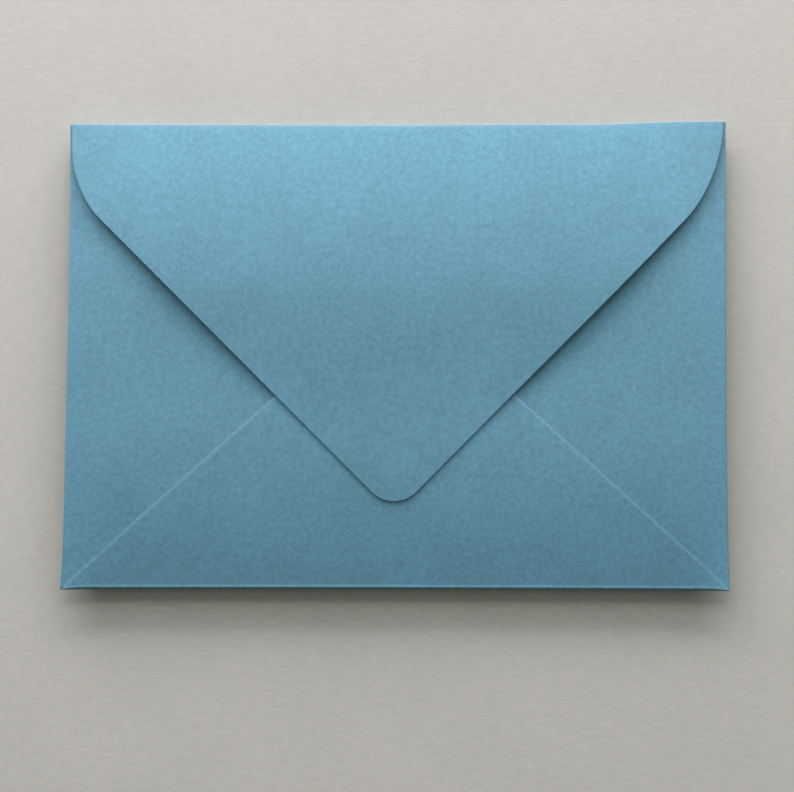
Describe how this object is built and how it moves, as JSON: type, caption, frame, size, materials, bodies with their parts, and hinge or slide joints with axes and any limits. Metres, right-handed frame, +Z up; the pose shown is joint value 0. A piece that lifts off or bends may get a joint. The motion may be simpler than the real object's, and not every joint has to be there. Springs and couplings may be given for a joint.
{
  "type": "paper envelope",
  "caption": "Closed blue paper envelope with a deep pointed flap, folded from one sheet and lying on its address side.",
  "frame": {"origin": "under the middle of the envelope, on the surface that its address side lies on", "axes": "+X along the long side, +Y towards the fold of the top flap, +Z up, out of the flap side"},
  "size_m": [0.162, 0.114, 0.0044],
  "materials": {
    "blue_paper": "matte"
  },
  "bodies": {
    "root": {"envelope": "blue_paper"}
  },
  "joints": []
}
